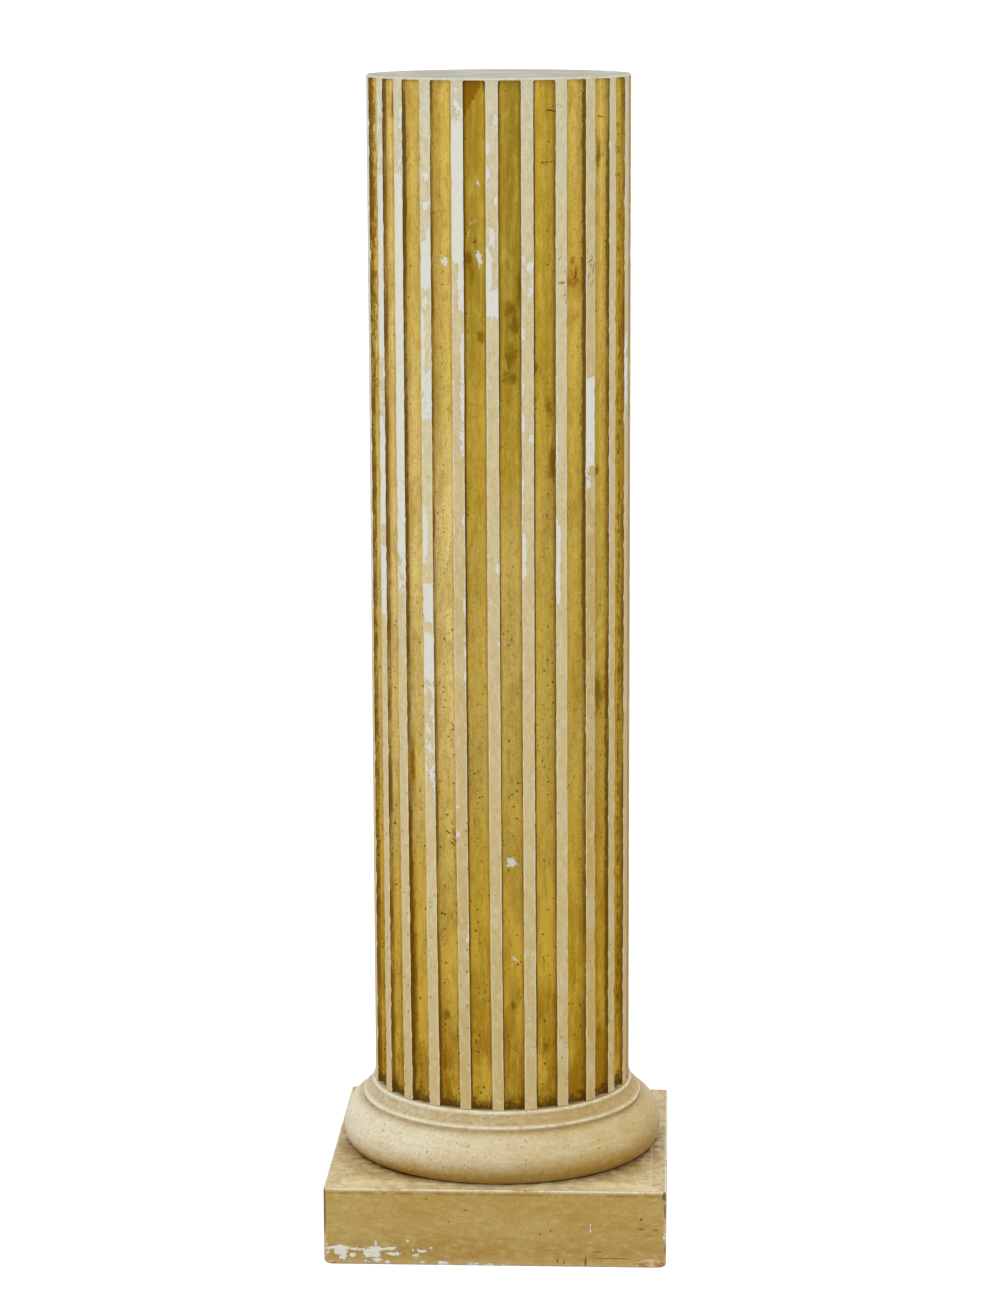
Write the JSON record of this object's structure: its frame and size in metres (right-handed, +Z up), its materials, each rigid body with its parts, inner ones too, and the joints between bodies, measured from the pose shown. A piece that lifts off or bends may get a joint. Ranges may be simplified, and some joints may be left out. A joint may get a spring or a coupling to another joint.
{
  "type": "fluted column pedestal",
  "caption": "Short round column pedestal with gilded flutes, on a turned torus ring and a square boarded plinth, for standing a bust, vase or lamp on.",
  "frame": {"origin": "centre of the plinth's underside, on the column's axis", "axes": "+Z up along the column's axis; the plinth's front faces -Y"},
  "size_m": [0.32, 0.32, 1.096],
  "materials": {
    "shaft_paint_and_gilding": "worn gilding, amber with grime, in the flutes; cream paint on the fillets, lost in places down to white gesso",
    "top_board_paint": "dull grey-cream paint, dusty",
    "ring_paint": "satin cream paint, aged and toned brown in the hollows",
    "plinth_paint": "brushed ochre paint, rubbed pale along its edges and chipped at its foot"
  },
  "bodies": {
    "root": {"fluted_shaft": "shaft_paint_and_gilding", "top_board": "top_board_paint", "base_ring": "ring_paint", "plinth_front": "plinth_paint", "plinth_right": "plinth_paint", "plinth_back": "plinth_paint", "plinth_left": "plinth_paint", "plinth_top_panel": "plinth_paint"}
  },
  "joints": []
}
